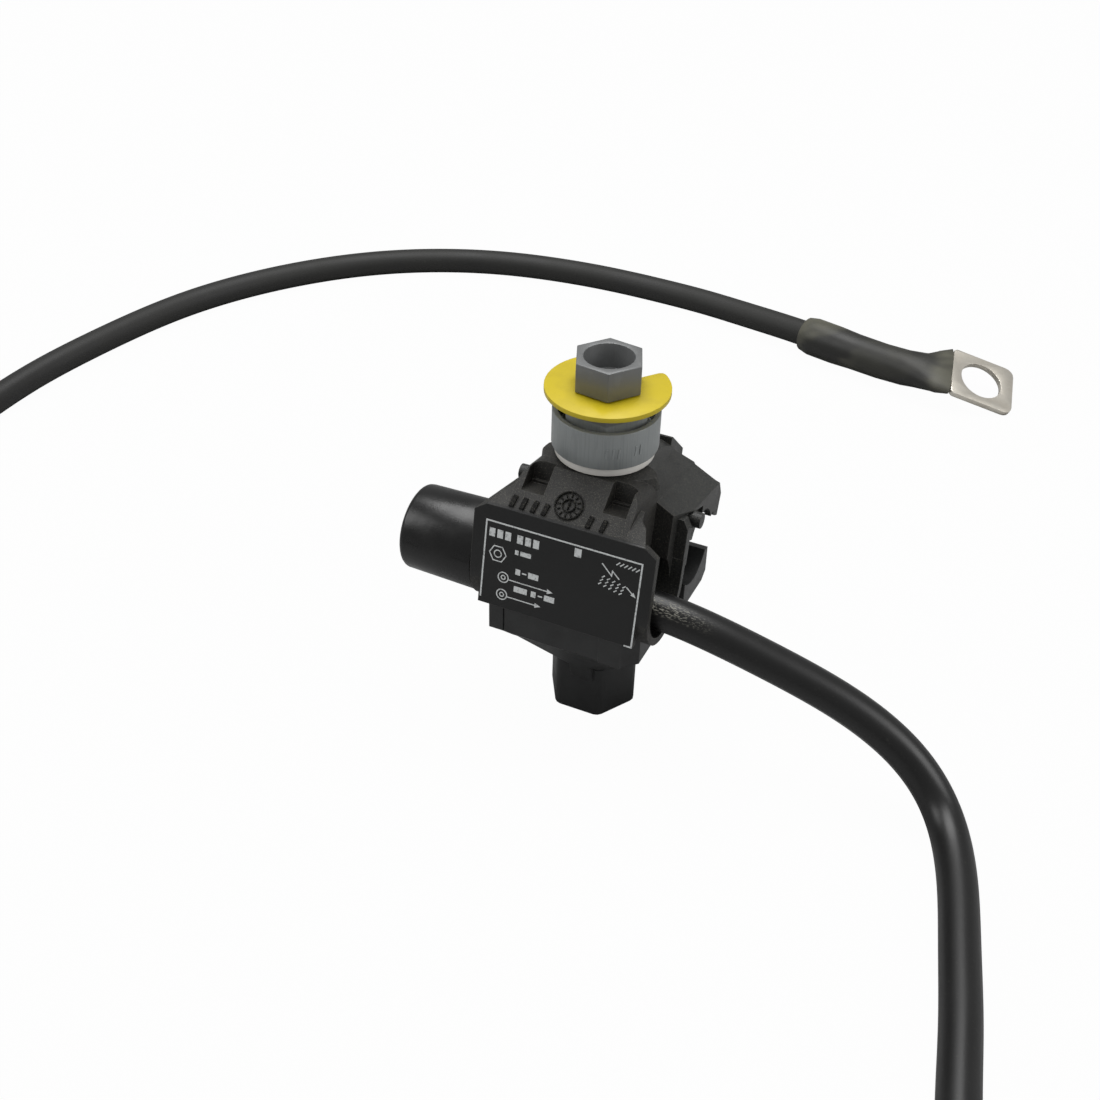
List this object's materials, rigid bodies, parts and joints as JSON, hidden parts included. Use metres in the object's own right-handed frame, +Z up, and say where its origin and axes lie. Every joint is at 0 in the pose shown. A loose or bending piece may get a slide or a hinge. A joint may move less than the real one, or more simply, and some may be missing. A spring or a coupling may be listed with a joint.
{
  "type": "insulation piercing service connector",
  "caption": "Black moulded cable tap connector with shear-head bolt, yellow clip, end cap and a fitted tap cable ending in a ring lug.",
  "frame": {"origin": "on the bolt's axis, at the bottom face of the lower jaw's hexagon boss", "axes": "+Z up the bolt, X along the cables, -Y towards the label side"},
  "size_m": [0.3168, 0.3582, 0.0864],
  "materials": {
    "moulded_black": "matt glass-filled moulding",
    "seal_rubber": "matt",
    "cap_rubber": "smooth satin",
    "cable_jacket": "semi-gloss",
    "shrink_sleeve": "matt",
    "cast_zinc": "as cast, fine vertical streaks",
    "plated_steel": "satin",
    "tinned_copper": "tinned, satin",
    "clip_yellow": "satin"
  },
  "bodies": {
    "lower_jaw": {"lower_housing": "moulded_black", "captive_nut": "plated_steel", "lower_blade_left": "tinned_copper", "lower_blade_right": "tinned_copper", "lower_tap_seal": "seal_rubber", "lower_main_seal": "seal_rubber", "tail_cable": "cable_jacket", "tail_sleeve": "shrink_sleeve", "ring_lug": "tinned_copper"},
    "press": {"rocker_washer": "plated_steel"},
    "bolt": {"clamp_bolt": "plated_steel", "shear_head": "cast_zinc", "head_clip": "clip_yellow"},
    "upper_jaw": {"upper_housing": "moulded_black", "upper_blade_left": "tinned_copper", "upper_blade_right": "tinned_copper", "upper_tap_seal": "seal_rubber", "upper_main_seal": "seal_rubber"},
    "cap": {"end_cap": "cap_rubber"}
  },
  "joints": [
    {"name": "jaw_close", "type": "slide", "parent": "lower_jaw", "child": "press", "axis": [0, 0, -1], "range_m": [0, 0.0025]},
    {"name": "bolt_turn", "type": "hinge", "parent": "press", "child": "bolt", "pos_m": [0, 0, 0.04], "axis": [0, 0, -1], "range_deg": [0, 720.5]},
    {"name": "jaw_rock", "type": "hinge", "parent": "press", "child": "upper_jaw", "pos_m": [0, 0, 0.04], "axis": [1, 0, 0], "range_deg": [0, 10.27]},
    {"name": "cap_pull", "type": "slide", "parent": "upper_jaw", "child": "cap", "axis": [-1, 0, 0], "range_m": [0, 0.012]}
  ],
  "couplings": [
    {"joint": "bolt_turn", "follows": "jaw_close", "rad_per_m": 5026.5}
  ]
}
